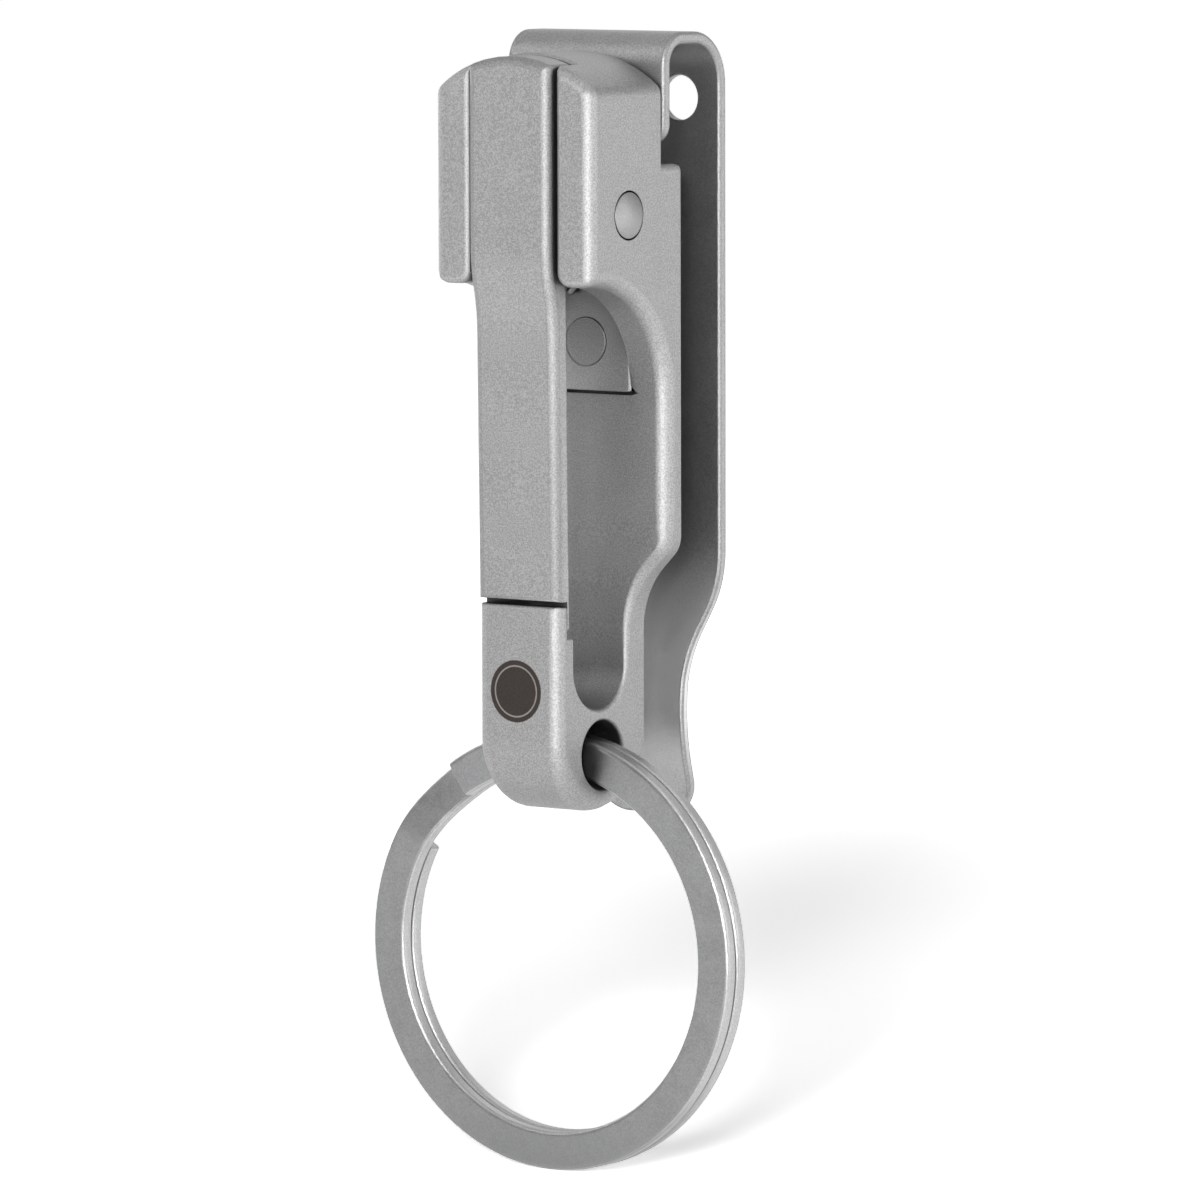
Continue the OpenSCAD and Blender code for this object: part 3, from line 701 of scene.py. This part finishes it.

# %% [markdown]
# ## Blasted steel
# Glass beads leave steel with a fine, even grain, about 0.12 mm across, that scatters the light.
# On top of it lie slow changes of tone from the blasting and from handling. The grain is a noise
# that drives a bump, with some of it in the colour. All of it reads Object coordinates, so the
# grain keeps its real size on every piece and doesn't stretch. Corners are darkened in the colour
# as painted shade. Painting the dark corners by hand would tie them to one shape, so Ambient
# Occlusion finds them: where walls stand close, steel mirrors other steel and not the pale room.
# One band of the rear leg is painted brighter, a painted sheen in place of a reflection there,
# which a blend by height gives.

# %% The steel recipe
GRAIN_MM, CLOUD_MM = 0.12, 4.0
BUMP_DEPTH = 0.00003
CORNER_REACH = 0.010


def noise(g, place, size_mm, detail=2.0, rough=0.6):
    """Noise with features of a real size, from -0.5 to 0.5."""
    return g.add("ShaderNodeTexNoise", {"noise_dimensions": "3D"},
                 {"Vector": place, "Scale": 1000 / size_mm, "Detail": detail,
                  "Roughness": rough}) - 0.5


def steel(name, tone, roughness, grain=1.7, warmth=0.003, bump=1.0, painted_corner_shade=0.45, scratches=None,
          painted_sheen_band=None, mark=None):
    material = bpy.data.materials.new(name)
    material.use_nodes = True
    g = Graph(material.node_tree)
    place = g.add("ShaderNodeTexCoord").also("Object")
    beads, cloud = noise(g, place, GRAIN_MM, 3.0, 0.7), noise(g, place, CLOUD_MM, 3.0)
    tint = beads * grain + cloud * 0.15
    rough = roughness + cloud * 0.12 + beads * 0.20
    height = beads
    if scratches:
        stretched = g.add("ShaderNodeMapping", {}, {"Vector": place, "Scale": scratches})
        lines = noise(g, stretched, 1.0, 4.0, 0.7)
        tint, rough, height = tint + lines * 0.35, rough + lines * 0.2, beads * 0.4 + lines
    colour = g.mix(tint.between(-0.25, 0.25), grey(tone * 0.78, warmth), grey(tone * 1.22, warmth))
    # Painted shade: where Ambient Occlusion finds walls close by, the colour is darkened towards
    # the tone times painted_corner_shade.
    open_air = g.add("ShaderNodeAmbientOcclusion", {"samples": 6},
                     {"Distance": CORNER_REACH}).also("AO")
    colour = g.mix(open_air.between(0.25, 0.85), grey(tone * painted_corner_shade, warmth), colour)
    # Painted sheen: a band by height is painted brighter, in place of light reflected there.
    if painted_sheen_band:
        level = g.add("ShaderNodeSeparateXYZ", {}, {"Vector": place}).also("Z")
        sheen_low, sheen_peak, sheen_high = painted_sheen_band
        worn = level.between(sheen_low, sheen_peak) * level.between(sheen_peak, sheen_high, 1, 0)
        colour = g.mix(worn, colour, grey(tone * 1.9, warmth))
    metallic = 1.0
    if mark:
        colour, rough, metallic = mark(g, place, beads, colour, rough)
    normal = g.add("ShaderNodeBump", {},
                   {"Height": height, "Strength": bump, "Distance": BUMP_DEPTH})
    shader = g.add("ShaderNodeBsdfPrincipled", {}, {"Base Color": colour, "Metallic": metallic,
                                                    "Roughness": rough, "Normal": normal})
    g.add("ShaderNodeOutputMaterial", {}, {"Surface": shader})
    return material

# %% [markdown]
# ## The laser mark
# A laser has burnt a small dark spot into the hook's front. A decal would need its own mesh, so
# the spot is a mask in the steel's own material: the distance from its centre, measured in the
# plane of the front, and only where the surface faces forward. It is left as a plain round spot
# with a thin bare circle in it. Burnt steel is a brown oxide, so the metal fades there too.

# %% A burnt spot as a mask
MARK_AT = INTO_FRAME @ Vector((-0.16, 0, 9.09))
MARK_R = 0.00228


def burnt_spot(g, place, beads, colour, rough):
    flat = g.add("ShaderNodeVectorMath", {"operation": "MULTIPLY"}, {0: place, 1: (1, 0, 1)})
    away = g.add("ShaderNodeVectorMath", {"operation": "DISTANCE"},
                 {0: flat, 1: (MARK_AT.x, 0, MARK_AT.z)}).also("Value") + beads * 0.00006
    depth = g.add("ShaderNodeSeparateXYZ", {}, {"Vector": place}).also("Y")
    faces_front = depth.between(-0.0130, -0.0128, 1, 0)
    spot = away.between(MARK_R - 0.00004, MARK_R + 0.00004, 1, 0) * faces_front
    line = away.between(MARK_R * 0.78, MARK_R * 0.80)
    line = line * away.between(MARK_R * 0.83, MARK_R * 0.85, 1, 0)
    oxide = g.mix(beads.between(-0.3, 0.3), (0.012, 0.008, 0.006, 1), (0.042, 0.029, 0.025, 1))
    burnt = g.mix(line, oxide, (0.26, 0.235, 0.22, 1))
    return g.mix(spot, colour, burnt), rough + spot * 0.1, 1 - spot * 0.7

# %% Finishes
body_steel = steel("blasted_steel_body", 0.355, 0.46, painted_corner_shade=0.25, mark=burnt_spot)
body_edge = steel("blasted_steel_body_edge", 0.40, 0.56)
gap_painted_shade = steel("painted_shade_gap", 0.10, 0.60)
gate_steel = steel("blasted_steel_gate", 0.355, 0.46)
gate_edge = steel("blasted_steel_gate_edge", 0.33, 0.56, painted_corner_shade=0.15)
sheet_steel = steel("blasted_sheet", 0.40, 0.40, painted_corner_shade=0.5, painted_sheen_band=(-0.056, -0.048, -0.036))
sheet_edge = steel("blasted_sheet_edge", 0.32, 0.48, painted_corner_shade=0.6)
pin_steel = steel("turned_pin", 0.33, 0.40, grain=0.5)
rivet_steel = steel("set_rivet", 0.36, 0.42, painted_corner_shade=0.4)
ring_steel = steel("tumbled_ring", 0.30, 0.38, grain=0.8, warmth=-0.008, bump=0.6, painted_corner_shade=0.8,
                   scratches=(0.6, 2.5, 0.6))
ring_edge = steel("tumbled_ring_rim", 0.52, 0.36, grain=0.8, warmth=-0.004, painted_corner_shade=0.6)
wire_steel = steel("spring_wire", 0.50, 0.34, grain=0.3)
FINISHES = {
    "hook_body": (hook_body, "clip_body", "body_steel", body_steel, body_edge),
    "gate": (gate, "gate", "gate_steel", gate_steel, gate_edge),
    "pivot_pin": (pivot_pin, "clip_body", "pin_steel", pin_steel, pin_steel),
    "belt_clip": (belt_clip, "clip_body", "clip_sheet", sheet_steel, sheet_edge),
    "split_ring": (split_ring, "ring", "ring_steel", ring_steel, ring_edge),
    "gate_spring": (gate_spring, None, "spring_wire", wire_steel, wire_steel),
}
for name, rivet in rivets.items():
    FINISHES[name] = (rivet, "clip_body", "rivet_steel", rivet_steel, rivet_steel)
print("finishes:", len(bpy.data.materials))

# %% [markdown]
# ## Dressing the frame
# Each soft twin takes its finish, rides with the body that its solid belongs to, and replaces
# that solid in the picture. The spring is different: its two ends move with two different bodies,
# so it rides with neither and keeps its place in the frame.

# %% Riding and replacing
for node, (piece, body, slot, face_finish, edge_finish) in FINISHES.items():
    while len(piece.data.materials) < 2:
        piece.data.materials.append(None)
    piece.data.materials[0], piece.data.materials[1] = face_finish, edge_finish
    # The third slot, where a piece has one, holds the painted shade of the joints.
    if len(piece.data.materials) > 2:
        piece.data.materials[2] = gap_painted_shade
    if body:
        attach(piece, body)
    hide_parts(node)
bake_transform(gate_spring)
print("dressed:", sorted(FINISHES))

# %% [markdown]
# ## The camera
# The photograph was taken with a long lens from the right of the front and a little above. The
# camera's place was solved from landmarks on the drawing, so it is given as a turn round the
# object and a distance. A long lens keeps the upright edges almost parallel.

# %% Camera
azimuth, elevation, roll = radians(36.063), radians(5.352), radians(-0.152)
back = Vector((sin(azimuth) * cos(elevation), -cos(azimuth) * cos(elevation), sin(elevation)))
right = Vector((cos(azimuth), sin(azimuth), 0))
up = back.cross(right)
right, up = right * cos(roll) + up * sin(roll), up * cos(roll) - right * sin(roll)
AWAY, ASIDE, BELOW = 653.731, 6.0369, 6.1884
eye = Vector((0, 0, 22)) + back * AWAY + right * ASIDE - up * BELOW
lens = bpy.data.cameras.new("camera")
lens.lens, lens.sensor_width, lens.clip_start, lens.clip_end = 269.65, 36, 0.01, 50
camera = bpy.data.objects.new("camera", lens)
scene.collection.objects.link(camera)
turn = Matrix((right, up, back)).transposed().to_4x4()
camera.matrix_world = Matrix.Translation(INTO_FRAME @ eye) @ turn
scene.camera = camera
print("camera at", [round(v, 4) for v in camera.location])

# %% [markdown]
# ## The studio
# Metal shows its surroundings, so the surroundings are part of the finish. The room is grey,
# dimmer in front on the left and brighter behind on the right, which is what parts the clip's
# front faces from its sides. To the camera the room is white. It doesn't light the floor, since
# light from all sides would wash out the shadow.

# %% The room
BRIGHT_SIDE = (0.25, 0.81, 0.53)
world = bpy.data.worlds.new("room")
scene.world = world
world.use_nodes = True
g = Graph(world.node_tree)
direction = g.add("ShaderNodeTexCoord").also("Object")
towards_bright = g.add("ShaderNodeVectorMath", {"operation": "DOT_PRODUCT"},
                       {0: direction, 1: BRIGHT_SIDE}).also("Value")
room = g.mix(towards_bright.between(-1, 1), grey(0.41), grey(0.64))
path = g.add("ShaderNodeLightPath")
seen = path.also("Is Camera Ray")
sky = g.add("ShaderNodeBackground", {}, {"Color": g.mix(seen, room, grey(1.0)), "Strength": 1.0})
world.cycles_visibility.diffuse = False
g.add("ShaderNodeOutputWorld", {}, {"Surface": sky})
print("the room is brightest towards", BRIGHT_SIDE)

# %% [markdown]
# The floor is a plain pale sheet. One coat of white paper under soft lamps would come out grey,
# so two coats are added together, and a little emission lifts them to white where the camera or a
# reflection looks. The emission grows with the distance, so that the shadow is kept close to the
# object and fades out further off, as it does in a photographer's light tent.

# %% The floor
FLOOR_HALF = 3
FADE_START, FADE_END = 0.15, 0.36
sheet = bmesh.new()
bmesh.ops.create_grid(sheet, x_segments=1, y_segments=1, size=FLOOR_HALF)
bmesh.ops.translate(sheet, verts=sheet.verts, vec=(0, 0, cad_low.z))
floor_mesh = bpy.data.meshes.new("floor")
sheet.to_mesh(floor_mesh)
sheet.free()
floor = bpy.data.objects.new("floor", floor_mesh)
scene.collection.objects.link(floor)
paper = bpy.data.materials.new("pale_floor")
paper.use_nodes = True
floor_mesh.materials.append(paper)
print("floor at", round(cad_low.z * 1000, 1), "mm, white from", FADE_END, "m")
g = Graph(paper.node_tree)
path = g.add("ShaderNodeLightPath")
looked_at = path.also("Is Camera Ray") + path.also("Is Glossy Ray")
looked_at = looked_at + path.also("Is Transmission Ray")
spread = g.add("ShaderNodeVectorMath", {"operation": "LENGTH"},
               {0: g.add("ShaderNodeTexCoord").also("Object")}).also("Value")
lift = g.mix(spread.between(FADE_START, FADE_END), grey(0.35), grey(1.0))
coat = g.add("ShaderNodeBsdfDiffuse", {}, {"Color": grey(0.95)})
matt = g.add("ShaderNodeAddShader", {}, {0: coat, 1: coat})
white = g.add("ShaderNodeEmission", {}, {"Color": lift, "Strength": looked_at})
both = g.add("ShaderNodeAddShader", {}, {0: matt, 1: white})
g.add("ShaderNodeOutputMaterial", {}, {"Surface": both})

# %% [markdown]
# A soft box is an area lamp. The key stands in front on the right and a little high, and draws
# the shadow. A narrow strip on each side gives the long rounded edges their bright lines, and the
# weak boxes above, behind and on the left keep the other faces from going black.

# %% Lamps
AIM = Vector((0, 0, -0.03))


def lamp(name, azimuth, elevation, distance, width, height, radiance):
    """A soft box aimed at the clip's middle. Its power follows from how bright it should look."""
    box = bpy.data.lights.new(name, "AREA")
    box.shape, box.size, box.size_y = "RECTANGLE", width, height
    box.energy = radiance * pi * width * height
    a, e = radians(azimuth), radians(elevation)
    out = Vector((sin(a) * cos(e), -cos(a) * cos(e), sin(e)))
    stand = bpy.data.objects.new(name, box)
    stand.matrix_world = Matrix.Translation(AIM + out * distance) @ \
        out.to_track_quat("Z", "Y").to_matrix().to_4x4()
    scene.collection.objects.link(stand)


for setup in (("key", 29, 12, 1.2, 0.16, 0.16, 130.0),
              ("right_strip", 111, 4, 0.6, 0.12, 0.5, 4.5),
              ("left_strip", -100, 4, 0.6, 0.10, 0.5, 5.0),
              ("left_fill", -46, 34, 1.0, 0.3, 0.3, 3.0),
              ("back_box", -158, 36, 0.8, 0.3, 0.3, 0.8),
              ("top_box", 60, 75, 0.8, 0.4, 0.4, 1.2)):
    lamp(*setup)

# %% View settings
scene.view_settings.view_transform = "Standard"
